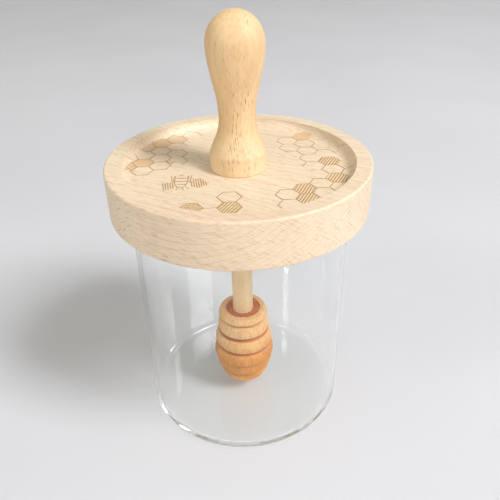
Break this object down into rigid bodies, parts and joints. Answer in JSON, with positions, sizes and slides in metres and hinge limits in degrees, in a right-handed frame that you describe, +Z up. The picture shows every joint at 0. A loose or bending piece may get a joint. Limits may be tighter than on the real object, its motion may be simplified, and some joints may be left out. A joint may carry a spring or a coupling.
{
  "type": "honey jar with dipper",
  "caption": "Empty clear glass jar under a thick wooden lid with a turned knob; a grooved wooden honey dipper hangs inside on a dowel through the lid.",
  "frame": {"origin": "centre of the jar's flat underside, on the table", "axes": "+Z up along the common axis of jar, lid, knob and dipper; +X and +Y are equal, the piece is round"},
  "size_m": [0.1, 0.1, 0.1663],
  "materials": {
    "clear_glass": "clear polished glass",
    "beech_lid": "bare sanded beech, face grain, fine ray flecks, light laser marks on the recess floor",
    "beech_knob": "bare sanded turned beech, grain along the knob",
    "beech_dowel": "bare sanded beech dowel",
    "beech_head": "bare turned beech, warmer towards the tip, darker end grain on top"
  },
  "bodies": {
    "root": {"jar": "clear_glass", "lid": "beech_lid", "knob": "beech_knob", "dowel": "beech_dowel", "dipper_head": "beech_head"}
  },
  "joints": []
}
